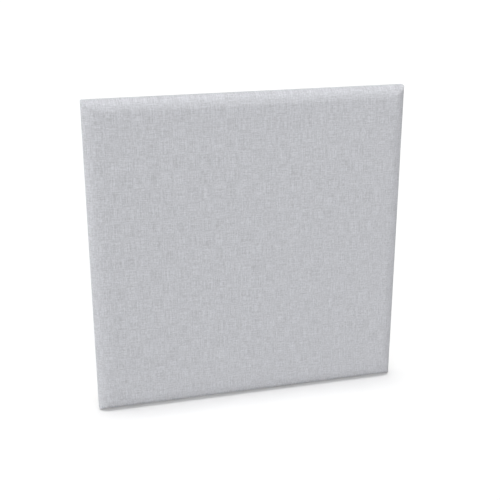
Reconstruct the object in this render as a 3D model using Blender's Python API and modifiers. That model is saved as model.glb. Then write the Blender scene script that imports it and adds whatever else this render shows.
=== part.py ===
"""Square pinnable sound absorbing wall panel, hung by bevelled cleats on a bevelled wall batten.

A mitred wooden frame with a rounded front edge carries a soft pinning board in a rebate.
Two absorber slabs fill the frame on each side of an upright brace, behind the board.
Wadding and a stretched cloth cover wrap the front and the sides, and the cloth turns in on the back.
Two bevelled cleats on the back hang on the wall batten, and two bumpers keep the foot off the wall.

The world's origin is the centre of the wall batten's back face, the wall is the plane y = 0, and the
room is on the -Y side. Panel pieces hang from an empty at the centre of the panel's front plane, so
their own y is the depth behind that plane, and their z is measured from the panel's centre.
"""

import math

import bmesh
import bpy
from mathutils import Matrix, Vector

# Overall sizes, over the cloth
PANEL_WIDTH = 1.200
PANEL_HEIGHT = 1.200
PANEL_THICKNESS = 0.050

# Rounding of the front edge: a quarter ellipse, the same on all four sides
EDGE_INSET = 0.042
EDGE_DEPTH = 0.035
EDGE_SEGMENTS = 8

# Gap left between pieces that touch or seat on each other
FIT = 0.0003

# Layers, from the front backwards
CLOTH_THICKNESS = 0.001
WADDING_THICKNESS = 0.003
BOARD_THICKNESS = 0.012
SCRIM_THICKNESS = 0.0005

# Bands on the back of the frame, from the outside inwards
RETURN_WIDTH = 0.030
CLEAT_FACE = 0.024
CLEAT_MARGIN = 0.003
SCRIM_LAP = 0.010

# Flat land between the rounding and the board's rebate
FRAME_LAND = 0.008

# Upright brace and its dowels
BRACE_WIDTH = 0.040
DOWEL_RADIUS = 0.004
DOWEL_LENGTH = 0.036
DOWEL_SPACING = 0.020

# Loose tongues across the four mitres
KEY_LENGTH = 0.044
KEY_WIDTH = 0.030
KEY_THICKNESS = 0.006

# Cleats and wall batten, whose bevels meet at 45 degrees; the gap between them is measured upright
CLEAT_THICKNESS = 0.012
CLEAT_LENGTH = 0.200
BATTEN_BACK = 0.030
BATTEN_SIDE = 0.150
BEVEL_GAP = 0.0004

# Room between the frame's back and the wall batten, for the scrim and its staples
BATTEN_FRONT_GAP = 0.0036

# Countersunk screw holes of the wall batten
BATTEN_HOLE_RADIUS = 0.0026
BATTEN_SINK_RADIUS = 0.0052
BATTEN_HOLE_COUNT = 4
BATTEN_HOLE_END = 0.050

# Screws: the cleats' have countersunk heads, the bumpers' have pan heads
SHANK_RADIUS = 0.00195
HEAD_RADIUS = 0.004
PAN_HEIGHT = 0.0024
PAN_CROWN = ((0.62, 1.00), (0.90, 0.72), (1.00, 0.35))
SUNK_LAND = 0.0004
SUNK_HEIGHT = 0.0024
HEAD_SINK = 0.0003
POINT_LENGTH = 0.004
RECESS_LENGTH = 0.0042
RECESS_WIDTH = 0.0009
RECESS_DEPTH = 0.0013
CLEAT_SCREW_LENGTH = 0.035
CLEAT_SCREW_SPACING = 0.075
BUMPER_SCREW_LENGTH = 0.026

# Bumpers at the foot
BUMPER_RADIUS = 0.011
BUMPER_WEB = 0.004
BUMPER_SIDE = 0.100
BUMPER_CHAMFER = 0.001
COUNTERBORE_CLEARANCE = 0.0006

# Staples: crown along the edge, two legs into the wood
STAPLE_WIDTH = 0.010
STAPLE_WIRE = 0.0012
STAPLE_CROWN = 0.0006
STAPLE_LEG = 0.008
STAPLE_LEG_WIDTH = 0.0009
COVER_STAPLES_PER_SIDE = 3
COVER_STAPLE_END = 0.200
SCRIM_STAPLES_PER_SIDE = 2
SCRIM_STAPLE_END = 0.300

# Facets
ROUND_SEGMENTS = 24
SCREW_SEGMENTS = 16
SMOOTH_ANGLE = math.radians(35)
MERGE_DISTANCE = 0.00002

# Depths behind the front plane
WADDING_DEPTH = CLOTH_THICKNESS + FIT
FRAME_INSET = WADDING_DEPTH + WADDING_THICKNESS + FIT
CORE_DEPTH = FRAME_INSET + BOARD_THICKNESS + FIT
WOOD_BACK = PANEL_THICKNESS - CLOTH_THICKNESS - FIT
SCRIM_BACK = WOOD_BACK + FIT + SCRIM_THICKNESS
JOINT_DEPTH = (CORE_DEPTH + WOOD_BACK) / 2

# Insets from the cloth's outer side
REBATE_INSET = EDGE_INSET + FRAME_LAND
FIXING_INSET = RETURN_WIDTH + CLEAT_MARGIN + CLEAT_FACE / 2
SCRIM_INSET = RETURN_WIDTH + 2 * CLEAT_MARGIN + CLEAT_FACE
OPENING_INSET = SCRIM_INSET + SCRIM_LAP

# Lengths and places along the top, which follow the panel's width
BATTEN_LENGTH = PANEL_WIDTH - 2 * BATTEN_SIDE
CLEAT_CENTRE_X = (BATTEN_LENGTH - CLEAT_LENGTH) / 2

# Hanging heights and distances, from the middle of the wall batten's back
WALL_DISTANCE = CLEAT_THICKNESS + 2 * FIT
BATTEN_THICKNESS = WALL_DISTANCE - BATTEN_FRONT_GAP
CLEAT_FOOT = BATTEN_BACK / 2 + BEVEL_GAP + CLEAT_THICKNESS + FIT
FRONT_Y = -WALL_DISTANCE - WOOD_BACK
CENTRE_Z = CLEAT_FOOT + CLEAT_FACE / 2 + FIXING_INSET - PANEL_HEIGHT / 2

SIDES = ("top", "right", "bottom", "left")
QUARTER_TURN = math.pi / 2


def clear_scene():
    """Remove the objects that a new file starts with."""
    for obj in list(bpy.data.objects):
        bpy.data.objects.remove(obj, do_unlink=True)


def new_collection(name):
    collection = bpy.data.collections.new(name)
    bpy.context.scene.collection.children.link(collection)
    return collection


clear_scene()
PARTS = new_collection("pinnable_acoustic_panel")
CUTTERS = new_collection("cutters")

PANEL = bpy.data.objects.new("panel_front_centre", None)
PANEL.location = (0, FRONT_Y, CENTRE_Z)
PARTS.objects.link(PANEL)


def material(name, colour, roughness, metallic=0.0):
    """A plain surface finish of one colour."""
    mat = bpy.data.materials.new(name)
    mat.use_nodes = True
    shader = mat.node_tree.nodes["Principled BSDF"]
    shader.inputs["Base Color"].default_value = (*colour, 1)
    shader.inputs["Roughness"].default_value = roughness
    shader.inputs["Metallic"].default_value = metallic
    mat.diffuse_color = (*colour, 1)
    return mat


def new_part(name, mesh, finish, parent=PANEL, smooth=False):
    """A named sub-part with its own finish; panel pieces hang from the panel's empty."""
    obj = bpy.data.objects.new(name, mesh)
    obj.parent = parent
    if not mesh.materials:
        mesh.materials.append(finish)
    if smooth:
        mesh.shade_smooth()
        mesh.set_sharp_from_angle(angle=SMOOTH_ANGLE)
    PARTS.objects.link(obj)
    return obj


def new_cutter(name, mesh, parent=PANEL):
    """A closed shape that only cuts other pieces."""
    obj = bpy.data.objects.new(name, mesh)
    obj.parent = parent
    obj.hide_render = True
    obj.display_type = "WIRE"
    CUTTERS.objects.link(obj)
    return obj


def cut(obj, cutter):
    """Subtract a cutter from a piece."""
    boolean = obj.modifiers.new(cutter.name, "BOOLEAN")
    boolean.operation = "DIFFERENCE"
    boolean.solver = "EXACT"
    boolean.object = cutter


def finished_mesh(name, bm):
    """Close a bmesh into a mesh with its faces pointing out."""
    bmesh.ops.recalc_face_normals(bm, faces=bm.faces)
    mesh = bpy.data.meshes.new(name)
    bm.to_mesh(mesh)
    bm.free()
    return mesh


def add_box(bm, low, high, turn=0.0):
    """Add a box between two corners, turned about its own centre round the y axis."""
    low, high = Vector(low), Vector(high)
    size = Matrix.Diagonal((*(high - low), 1))
    place = Matrix.Translation((low + high) / 2) @ Matrix.Rotation(turn, 4, "Y")
    bmesh.ops.create_cube(bm, size=1, matrix=place @ size)


def box_mesh(name, low, high):
    bm = bmesh.new()
    add_box(bm, low, high)
    return finished_mesh(name, bm)


def add_cylinder(bm, centre, axis, radius, length, segments=ROUND_SEGMENTS):
    """Add a capped cylinder centred at a point, along an axis."""
    turn = Vector((0, 0, 1)).rotation_difference(Vector(axis)).to_matrix().to_4x4()
    bmesh.ops.create_cone(
        bm,
        cap_ends=True,
        segments=segments,
        radius1=radius,
        radius2=radius,
        depth=length,
        matrix=Matrix.Translation(centre) @ turn,
    )


def outline_prism(name, points, half_length):
    """A flat outline in the y-z plane, given as (y, z) points, run along x to both sides."""
    curve = bpy.data.curves.new(name, "CURVE")
    curve.dimensions = "2D"
    curve.fill_mode = "BOTH"
    curve.extrude = half_length
    spline = curve.splines.new("POLY")
    spline.points.add(len(points) - 1)
    for point, (y, z) in zip(spline.points, points):
        point.co = (y, z, 0, 1)
    spline.use_cyclic_u = True
    flat = bpy.data.objects.new(name, curve)
    bpy.context.scene.collection.objects.link(flat)
    evaluated = flat.evaluated_get(bpy.context.evaluated_depsgraph_get())
    drawn = bpy.data.meshes.new_from_object(evaluated)
    bpy.data.objects.remove(flat)
    bm = bmesh.new()
    bm.from_mesh(drawn)
    bmesh.ops.remove_doubles(bm, verts=bm.verts, dist=MERGE_DISTANCE)
    # The curve is drawn in x-y and runs along z, so its axes turn round to y, z and x
    turned = Matrix(((0, 0, 1, 0), (1, 0, 0, 0), (0, 1, 0, 0), (0, 0, 0, 1)))
    bmesh.ops.transform(bm, matrix=turned, verts=bm.verts)
    return finished_mesh(name, bm)


def turned(name, profile, segments, closed=False):
    """Turn a profile of (radius, height) about its axis, and lay the axis along +Y."""
    bm = bmesh.new()
    corners = [bm.verts.new((radius, 0, height)) for radius, height in profile]
    for first, second in zip(corners, corners[1:]):
        bm.edges.new((first, second))
    if closed:
        bm.edges.new((corners[-1], corners[0]))
    mesh = bpy.data.meshes.new(name)
    bm.to_mesh(mesh)
    bm.free()
    shape = bpy.data.objects.new(name, mesh)
    bpy.context.scene.collection.objects.link(shape)
    spin = shape.modifiers.new("turn", "SCREW")
    spin.steps = segments
    spin.render_steps = segments
    spin.use_merge_vertices = True
    spin.merge_threshold = MERGE_DISTANCE
    spin.use_normal_calculate = True
    evaluated = shape.evaluated_get(bpy.context.evaluated_depsgraph_get())
    result = bpy.data.meshes.new_from_object(evaluated)
    bpy.data.objects.remove(shape)
    bm = bmesh.new()
    bm.from_mesh(result)
    # Height turns to +Y, the way out of the panel's back
    bmesh.ops.rotate(bm, matrix=Matrix.Rotation(-QUARTER_TURN, 3, "X"), verts=bm.verts)
    return finished_mesh(name, bm)


def edge_arc(inset):
    """Points (inset, depth) along the rounded edge of a layer that lies that far inside the cloth."""
    run_in = EDGE_INSET - inset
    run_back = EDGE_DEPTH - inset
    points = []
    for step in range(EDGE_SEGMENTS + 1):
        angle = QUARTER_TURN * step / EDGE_SEGMENTS
        points.append((EDGE_INSET - run_in * math.cos(angle), EDGE_DEPTH - run_back * math.sin(angle)))
    return points


def rounded_block(name, inset, back):
    """A block that lies inside the cloth by inset, down to a depth, with its front edges rounded.

    The front edges are bevelled round in a space stretched along the depth, which then shrinks back,
    so that the quarter circle becomes the quarter ellipse of the edge.
    """
    run_in = EDGE_INSET - inset
    stretch = run_in / (EDGE_DEPTH - inset)
    deep = (back - inset) * stretch
    bm = bmesh.new()
    half_x = PANEL_WIDTH / 2 - inset
    half_z = PANEL_HEIGHT / 2 - inset
    add_box(bm, (-half_x, 0, -half_z), (half_x, deep, half_z))
    front_edges = [e for e in bm.edges if all(abs(v.co.y) < deep / 2 for v in e.verts)]
    bmesh.ops.bevel(
        bm,
        geom=front_edges,
        offset=run_in,
        offset_type="OFFSET",
        segments=EDGE_SEGMENTS,
        profile=0.5,
        affect="EDGES",
    )
    bmesh.ops.scale(bm, vec=(1, 1 / stretch, 1), verts=bm.verts)
    bmesh.ops.translate(bm, vec=(0, inset, 0), verts=bm.verts)
    return finished_mesh(name, bm)


def side_sizes(index):
    """Half the length of a side, and how far it lies from the panel's centre."""
    if index % 2 == 0:
        return PANEL_WIDTH / 2, PANEL_HEIGHT / 2
    return PANEL_HEIGHT / 2, PANEL_WIDTH / 2


def side_turn(index):
    """The turn about the depth axis that takes the top side to this one."""
    return Matrix.Rotation(QUARTER_TURN * index, 4, "Y")


PINE = material("pine", (0.68, 0.50, 0.30), 0.65)
BEECH = material("beech", (0.72, 0.52, 0.34), 0.55)
FIBREBOARD = material("soft_fibreboard", (0.42, 0.30, 0.18), 0.95)
ABSORBER = material("absorber_felt", (0.30, 0.30, 0.31), 1.0)
WADDING = material("white_wadding", (0.85, 0.85, 0.83), 1.0)
CLOTH = material("grey_melange_cloth", (0.52, 0.53, 0.56), 0.95)
SCRIM = material("black_scrim", (0.03, 0.03, 0.03), 1.0)
PLYWOOD = material("birch_plywood", (0.74, 0.59, 0.40), 0.6)
ZINC = material("zinc_plated_steel", (0.70, 0.71, 0.73), 0.35, 1.0)
RUBBER = material("grey_rubber", (0.10, 0.10, 0.10), 0.85)


# Places of the fasteners. A staple has its name, its side, its place along that side, its distance
# from the panel's centre, and the depth that its crown sits on


def spread_along(half_length, end, count):
    """Places along a side, evenly spread, the outer ones that far from its ends."""
    reach = half_length - end
    if count == 1:
        return [0.0]
    return [-reach + 2 * reach * k / (count - 1) for k in range(count)]


COVER_STAPLE_INSET = (RETURN_WIDTH + FRAME_INSET) / 2
SCRIM_STAPLE_INSET = (SCRIM_INSET + OPENING_INSET) / 2

STAPLES = []
for side_index, side in enumerate(SIDES):
    half_length, distance = side_sizes(side_index)
    places = spread_along(half_length, COVER_STAPLE_END, COVER_STAPLES_PER_SIDE)
    for number, along in enumerate(places, 1):
        name = f"cover_staple_{side}_{number}"
        STAPLES.append((name, side_index, along, distance - COVER_STAPLE_INSET, PANEL_THICKNESS))
    places = spread_along(half_length, SCRIM_STAPLE_END, SCRIM_STAPLES_PER_SIDE)
    for number, along in enumerate(places, 1):
        name = f"scrim_staple_{side}_{number}"
        STAPLES.append((name, side_index, along, distance - SCRIM_STAPLE_INSET, SCRIM_BACK))

CLEAT_Z = PANEL_HEIGHT / 2 - FIXING_INSET
CLEATS = {"left": -CLEAT_CENTRE_X, "right": CLEAT_CENTRE_X}
CLEAT_SCREWS = []
for hand, centre_x in CLEATS.items():
    for number in (1, 2, 3):
        CLEAT_SCREWS.append((f"cleat_screw_{hand}_{number}", centre_x + (number - 2) * CLEAT_SCREW_SPACING))
BUMPER_X = PANEL_WIDTH / 2 - BUMPER_SIDE
BUMPER_Z = -PANEL_HEIGHT / 2 + FIXING_INSET
BUMPERS = {"left": -BUMPER_X, "right": BUMPER_X}

CLEAT_SCREW_TOP = WOOD_BACK + FIT + CLEAT_THICKNESS - HEAD_SINK
BUMPER_SCREW_SEAT = WOOD_BACK + 2 * FIT + BUMPER_WEB


# Cutters


def sunk_profile(clearance, rise):
    """Half section of a cleat's countersunk screw, its head's top at height 0.

    A bore for it is wider all round by a clearance, and open above the head by a rise.
    """
    head = HEAD_RADIUS + clearance
    shank = SHANK_RADIUS + clearance
    return [
        (0, rise),
        (head, rise),
        (head, -SUNK_LAND),
        (shank, -SUNK_HEIGHT),
        (shank, POINT_LENGTH - CLEAT_SCREW_LENGTH),
        (0, -CLEAT_SCREW_LENGTH - clearance),
    ]


def add_turned(bm, profile, segments, place):
    """Add a turned shape at a place."""
    piece = turned("turned", profile, segments)
    piece.transform(Matrix.Translation(place))
    bm.from_mesh(piece)
    bpy.data.meshes.remove(piece)


def screw_bores():
    """Clearance bores of every screw that goes into the frame."""
    bm = bmesh.new()
    profile = sunk_profile(FIT, HEAD_SINK + FIT)
    for _, x in CLEAT_SCREWS:
        add_turned(bm, profile, SCREW_SEGMENTS, (x, CLEAT_SCREW_TOP, CLEAT_Z))
    bottom = BUMPER_SCREW_SEAT - BUMPER_SCREW_LENGTH - FIT
    middle = (bottom + BUMPER_SCREW_SEAT) / 2
    length = BUMPER_SCREW_SEAT - bottom
    for x in BUMPERS.values():
        add_cylinder(bm, (x, middle, BUMPER_Z), (0, 1, 0), SHANK_RADIUS + FIT, length, SCREW_SEGMENTS)
    return new_cutter("screw_bores", finished_mesh("screw_bores", bm))


def staple_slots():
    """Slots that the staples' legs stand in, through the cloth or the scrim and into the wood."""
    bm = bmesh.new()
    half_wire = STAPLE_WIRE / 2 + FIT
    for _, index, along, outward, seat in STAPLES:
        for hand in (-1, 1):
            outer = STAPLE_WIDTH / 2 + FIT
            inner = STAPLE_WIDTH / 2 - STAPLE_LEG_WIDTH - FIT
            low_x, high_x = sorted((along + hand * inner, along + hand * outer))
            # The slots of one side are made at the top and turned round to their side
            box = bmesh.new()
            low = (low_x, seat - STAPLE_LEG - FIT, outward - half_wire)
            high = (high_x, seat + FIT, outward + half_wire)
            add_box(box, low, high)
            bmesh.ops.transform(box, matrix=side_turn(index), verts=box.verts)
            piece = bpy.data.meshes.new("slot")
            box.to_mesh(piece)
            box.free()
            bm.from_mesh(piece)
            bpy.data.meshes.remove(piece)
    return new_cutter("staple_slots", finished_mesh("staple_slots", bm))


def corner_middle(sign_x, sign_z):
    """The middle of a mitre, in x and z."""
    middle = (FRAME_INSET + OPENING_INSET) / 2
    return sign_x * (PANEL_WIDTH / 2 - middle), sign_z * (PANEL_HEIGHT / 2 - middle)


def add_key(bm, sign_x, sign_z, clearance):
    """A tongue across the mitre of one corner, larger all round by a clearance."""
    x, z = corner_middle(sign_x, sign_z)
    half = Vector((KEY_LENGTH / 2 + clearance, KEY_THICKNESS / 2 + clearance, KEY_WIDTH / 2 + clearance))
    centre = Vector((x, JOINT_DEPTH, z))
    # The tongue's length runs across the mitre, which is at 45 degrees
    turn = sign_x * sign_z * QUARTER_TURN / 2
    add_box(bm, centre - half, centre + half, turn)


def key_pockets():
    bm = bmesh.new()
    for sign_x in (-1, 1):
        for sign_z in (-1, 1):
            add_key(bm, sign_x, sign_z, FIT)
    return new_cutter("key_pockets", finished_mesh("key_pockets", bm))


DOWEL_Z = PANEL_HEIGHT / 2 - OPENING_INSET
DOWELS = []
for end, sign in (("top", 1), ("bottom", -1)):
    for hand, hand_sign in (("left", -1), ("right", 1)):
        DOWELS.append((f"brace_dowel_{end}_{hand}", hand_sign * DOWEL_SPACING / 2, sign * DOWEL_Z))


def dowel_bores():
    bm = bmesh.new()
    for _, x, z in DOWELS:
        add_cylinder(bm, (x, JOINT_DEPTH, z), (0, 0, 1), DOWEL_RADIUS + FIT, DOWEL_LENGTH + 2 * FIT)
    return new_cutter("dowel_bores", finished_mesh("dowel_bores", bm))


SCREW_BORES = screw_bores()
STAPLE_SLOTS = staple_slots()
KEY_POCKETS = key_pockets()
DOWEL_BORES = dowel_bores()


# Frame


def frame_rail(name, index):
    """One side of the mitred frame: rounded outside in front, rebated inside for the board."""
    half_length, distance = side_sizes(index)
    section = [(FRAME_INSET, WOOD_BACK)] + edge_arc(FRAME_INSET)
    section += [
        (REBATE_INSET, FRAME_INSET),
        (REBATE_INSET, CORE_DEPTH),
        (OPENING_INSET, CORE_DEPTH),
        (OPENING_INSET, WOOD_BACK),
    ]
    points = [(depth, distance - inset) for inset, depth in section]
    mesh = outline_prism(name, points, half_length)
    mitre_gap = FIT / math.sqrt(2)
    # The prism's ends become mitres: a point lies as far from the end as from the outer side
    for vertex in mesh.vertices:
        end = half_length - (distance - vertex.co.z) - mitre_gap
        vertex.co.x = math.copysign(end, vertex.co.x)
    mesh.transform(side_turn(index))
    rail = new_part(name, mesh, PINE, smooth=True)
    for cutter in (KEY_POCKETS, SCREW_BORES, STAPLE_SLOTS):
        cut(rail, cutter)
    if index % 2 == 0:
        cut(rail, DOWEL_BORES)
    return rail


def centre_brace():
    """The upright between the top and bottom rails, behind the board."""
    half_height = PANEL_HEIGHT / 2 - OPENING_INSET - FIT
    low = (-BRACE_WIDTH / 2, CORE_DEPTH, -half_height)
    high = (BRACE_WIDTH / 2, WOOD_BACK, half_height)
    brace = new_part("centre_brace", box_mesh("centre_brace", low, high), PINE)
    cut(brace, DOWEL_BORES)


def mitre_keys():
    """A loose tongue in each corner, half in each rail."""
    for end, sign_z in (("top", 1), ("bottom", -1)):
        for hand, sign_x in (("left", -1), ("right", 1)):
            name = f"mitre_key_{end}_{hand}"
            bm = bmesh.new()
            add_key(bm, sign_x, sign_z, 0.0)
            new_part(name, finished_mesh(name, bm), BEECH)


def brace_dowels():
    """Round dowels that hold the brace between the rails."""
    for name, x, z in DOWELS:
        bm = bmesh.new()
        add_cylinder(bm, (0, 0, 0), (0, 0, 1), DOWEL_RADIUS, DOWEL_LENGTH)
        dowel = new_part(name, finished_mesh(name, bm), BEECH, smooth=True)
        dowel.location = (x, JOINT_DEPTH, z)


frame_rail("top_rail", 0)
frame_rail("right_stile", 1)
frame_rail("bottom_rail", 2)
frame_rail("left_stile", 3)
centre_brace()
mitre_keys()
brace_dowels()


# Board and absorber


def pin_board():
    """The soft board that pins go into, flush with the frame's front in its rebate."""
    half_x = PANEL_WIDTH / 2 - REBATE_INSET - FIT
    half_z = PANEL_HEIGHT / 2 - REBATE_INSET - FIT
    low = (-half_x, FRAME_INSET, -half_z)
    high = (half_x, FRAME_INSET + BOARD_THICKNESS, half_z)
    new_part("pin_board", box_mesh("pin_board", low, high), FIBREBOARD)


def core_slabs():
    """The absorber slabs, one on each side of the brace."""
    outer = PANEL_WIDTH / 2 - OPENING_INSET - FIT
    inner = BRACE_WIDTH / 2 + FIT
    half_z = PANEL_HEIGHT / 2 - OPENING_INSET - FIT
    for hand, low_x, high_x in (("left", -outer, -inner), ("right", inner, outer)):
        name = f"core_slab_{hand}"
        low = (low_x, CORE_DEPTH, -half_z)
        high = (high_x, WOOD_BACK, half_z)
        new_part(name, box_mesh(name, low, high), ABSORBER)


pin_board()
core_slabs()


# Wadding, cloth and scrim


def wadding_layer():
    """Wadding over the board, round the edge and down the frame's sides."""
    outside = rounded_block("wadding_layer", WADDING_DEPTH, WOOD_BACK)
    layer = new_part("wadding_layer", outside, WADDING, smooth=True)
    inside = rounded_block("wadding_inside", WADDING_DEPTH + WADDING_THICKNESS, WOOD_BACK + PANEL_THICKNESS)
    cut(layer, new_cutter("wadding_inside", inside))


def fabric_cover():
    """The cloth, stretched over the front and sides and turned in on the frame's back."""
    outside = rounded_block("fabric_cover", 0.0, PANEL_THICKNESS)
    cover = new_part("fabric_cover", outside, CLOTH, smooth=True)
    inside = rounded_block("cover_inside", CLOTH_THICKNESS, WOOD_BACK + FIT)
    cut(cover, new_cutter("cover_inside", inside))
    half_x = PANEL_WIDTH / 2 - RETURN_WIDTH
    half_z = PANEL_HEIGHT / 2 - RETURN_WIDTH
    low = (-half_x, JOINT_DEPTH, -half_z)
    high = (half_x, PANEL_THICKNESS + JOINT_DEPTH, half_z)
    cut(cover, new_cutter("cover_opening", box_mesh("cover_opening", low, high)))
    cut(cover, STAPLE_SLOTS)


def back_scrim():
    """The thin cloth that closes the back of the core, lapped on the frame."""
    half_x = PANEL_WIDTH / 2 - SCRIM_INSET
    half_z = PANEL_HEIGHT / 2 - SCRIM_INSET
    low = (-half_x, WOOD_BACK + FIT, -half_z)
    high = (half_x, SCRIM_BACK, half_z)
    scrim = new_part("back_scrim", box_mesh("back_scrim", low, high), SCRIM)
    cut(scrim, STAPLE_SLOTS)


def staples():
    """Staples through the turned-in cloth and through the scrim's lap."""
    half = STAPLE_WIDTH / 2
    inner = half - STAPLE_LEG_WIDTH
    crown = FIT + STAPLE_CROWN
    # Outline in (along the side, depth from the seat), legs pointing into the wood
    outline = [
        (-half, crown), (-half, -STAPLE_LEG), (-inner, -STAPLE_LEG), (-inner, FIT),
        (inner, FIT), (inner, -STAPLE_LEG), (half, -STAPLE_LEG), (half, crown),
    ]
    bent = outline_prism("staple", outline, STAPLE_WIRE / 2)
    # The outline's y and z become along and depth, and its width runs outwards
    bent.transform(Matrix(((0, 1, 0, 0), (0, 0, 1, 0), (1, 0, 0, 0), (0, 0, 0, 1))))
    for name, index, along, outward, seat in STAPLES:
        staple = new_part(name, bent, ZINC)
        staple.rotation_euler = (0, QUARTER_TURN * index, 0)
        staple.location = side_turn(index) @ Vector((along, seat, outward))


wadding_layer()
fabric_cover()
back_scrim()
staples()


# Hanging


def pan_profile():
    """Half section of a bumper's pan head screw, its head's underside at height 0."""
    profile = [(0, PAN_HEIGHT)]
    profile += [(HEAD_RADIUS * out, PAN_HEIGHT * up) for out, up in PAN_CROWN]
    return profile + [
        (HEAD_RADIUS, 0),
        (SHANK_RADIUS, 0),
        (SHANK_RADIUS, POINT_LENGTH - BUMPER_SCREW_LENGTH),
        (0, -BUMPER_SCREW_LENGTH),
    ]


def cross_outline():
    """The twelve corners of a cross recess."""
    arm = RECESS_LENGTH / 2
    half = RECESS_WIDTH / 2
    quarter = [(half, half), (half, arm), (-half, arm)]
    points = []
    for turn in range(4):
        cosine = math.cos(QUARTER_TURN * turn)
        sine = math.sin(QUARTER_TURN * turn)
        for a, b in quarter:
            points.append((a * cosine - b * sine, a * sine + b * cosine))
    return points


def recess_cutter(name, location):
    """A cross shaped cutter at the top of a screw's head."""
    mesh = outline_prism(name, cross_outline(), RECESS_DEPTH)
    # The prism runs along x and a screw along y, so they change places
    mesh.transform(Matrix.Rotation(QUARTER_TURN, 4, "Z"))
    cutter = new_cutter(name, mesh)
    cutter.location = location
    return cutter


def place_screw(name, mesh, place, head_top):
    """Set a screw in its place, and cut the cross recess down from its head's top."""
    screw = new_part(name, mesh, ZINC, smooth=True)
    screw.location = place
    x, depth, z = place
    cut(screw, recess_cutter(f"{name}_recess", (x, depth + head_top, z)))


def cleats():
    """Two cleats on the top rail's back, their lower edges bevelled to hook behind the batten."""
    near = FIT
    far = FIT + CLEAT_THICKNESS
    # Section in (depth from the wood's back, height from the foot of the face on the frame)
    section = [(near, 0), (near, CLEAT_FACE), (far, CLEAT_FACE), (far, -CLEAT_THICKNESS)]
    foot_z = CLEAT_Z - CLEAT_FACE / 2
    for hand, centre_x in CLEATS.items():
        name = f"cleat_{hand}"
        cleat = new_part(name, outline_prism(name, section, CLEAT_LENGTH / 2), PLYWOOD)
        cleat.location = (centre_x, WOOD_BACK, foot_z)
        cut(cleat, SCREW_BORES)
    screw = turned("cleat_screw", sunk_profile(0.0, 0.0), SCREW_SEGMENTS)
    for name, x in CLEAT_SCREWS:
        place_screw(name, screw, (x, CLEAT_SCREW_TOP, CLEAT_Z), 0.0)


def wall_batten():
    """The batten that stays on the wall, its upper edge bevelled with the point away from the wall."""
    half = BATTEN_BACK / 2
    front = -BATTEN_THICKNESS
    section = [(0, -half), (0, half), (front, half + BATTEN_THICKNESS), (front, -half)]
    mesh = outline_prism("wall_batten", section, BATTEN_LENGTH / 2)
    batten = new_part("wall_batten", mesh, PLYWOOD, parent=None)
    # A hole's half section, its height measured from the batten's front towards the wall
    hole = [
        (0, -FIT),
        (BATTEN_SINK_RADIUS, -FIT),
        (BATTEN_SINK_RADIUS, 0),
        (BATTEN_HOLE_RADIUS, BATTEN_SINK_RADIUS - BATTEN_HOLE_RADIUS),
        (BATTEN_HOLE_RADIUS, BATTEN_THICKNESS + FIT),
        (0, BATTEN_THICKNESS + FIT),
    ]
    bm = bmesh.new()
    reach = BATTEN_LENGTH / 2 - BATTEN_HOLE_END
    for number in range(BATTEN_HOLE_COUNT):
        x = -reach + 2 * reach * number / (BATTEN_HOLE_COUNT - 1)
        add_turned(bm, hole, ROUND_SEGMENTS, (x, front, 0))
    cut(batten, new_cutter("batten_holes", finished_mesh("batten_holes", bm), parent=None))


def bumpers():
    """Two bumpers that stand between the bottom rail and the wall."""
    height = WALL_DISTANCE - FIT
    bore = SHANK_RADIUS + FIT
    counterbore = HEAD_RADIUS + COUNTERBORE_CLEARANCE
    profile = [
        (BUMPER_RADIUS - BUMPER_CHAMFER, height),
        (BUMPER_RADIUS, height - BUMPER_CHAMFER),
        (BUMPER_RADIUS, 0),
        (bore, 0),
        (bore, BUMPER_WEB),
        (counterbore, BUMPER_WEB),
        (counterbore, height),
    ]
    screw = turned("bumper_screw", pan_profile(), SCREW_SEGMENTS)
    for hand, x in BUMPERS.items():
        name = f"bumper_{hand}"
        bumper = new_part(name, turned(name, profile, ROUND_SEGMENTS, closed=True), RUBBER, smooth=True)
        bumper.location = (x, WOOD_BACK + FIT, BUMPER_Z)
        place_screw(f"bumper_screw_{hand}", screw, (x, BUMPER_SCREW_SEAT, BUMPER_Z), PAN_HEIGHT)


cleats()
wall_batten()
bumpers()
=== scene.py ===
import math

import bmesh
import bpy
import numpy as np
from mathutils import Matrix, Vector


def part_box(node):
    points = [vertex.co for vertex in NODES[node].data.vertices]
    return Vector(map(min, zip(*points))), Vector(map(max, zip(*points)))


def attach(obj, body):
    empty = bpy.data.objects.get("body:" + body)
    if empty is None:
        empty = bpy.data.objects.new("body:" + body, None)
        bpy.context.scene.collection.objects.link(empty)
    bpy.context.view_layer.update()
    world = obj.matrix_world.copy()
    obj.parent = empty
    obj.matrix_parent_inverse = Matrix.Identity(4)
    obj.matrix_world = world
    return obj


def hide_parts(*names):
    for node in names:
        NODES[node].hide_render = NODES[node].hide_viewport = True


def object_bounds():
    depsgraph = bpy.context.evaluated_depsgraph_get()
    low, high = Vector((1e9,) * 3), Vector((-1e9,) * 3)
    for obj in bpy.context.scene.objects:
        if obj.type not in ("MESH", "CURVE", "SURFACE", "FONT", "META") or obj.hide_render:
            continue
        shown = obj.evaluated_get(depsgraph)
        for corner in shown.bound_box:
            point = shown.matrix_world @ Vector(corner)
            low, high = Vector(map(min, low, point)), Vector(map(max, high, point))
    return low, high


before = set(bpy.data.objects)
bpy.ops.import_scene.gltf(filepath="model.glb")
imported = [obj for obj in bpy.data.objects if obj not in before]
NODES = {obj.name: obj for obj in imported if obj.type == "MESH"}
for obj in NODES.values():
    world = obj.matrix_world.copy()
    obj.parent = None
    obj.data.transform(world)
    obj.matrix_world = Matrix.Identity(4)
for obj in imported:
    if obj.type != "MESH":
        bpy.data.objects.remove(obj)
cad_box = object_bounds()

scene = bpy.context.scene
scene.view_settings.view_transform = "Standard"


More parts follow.
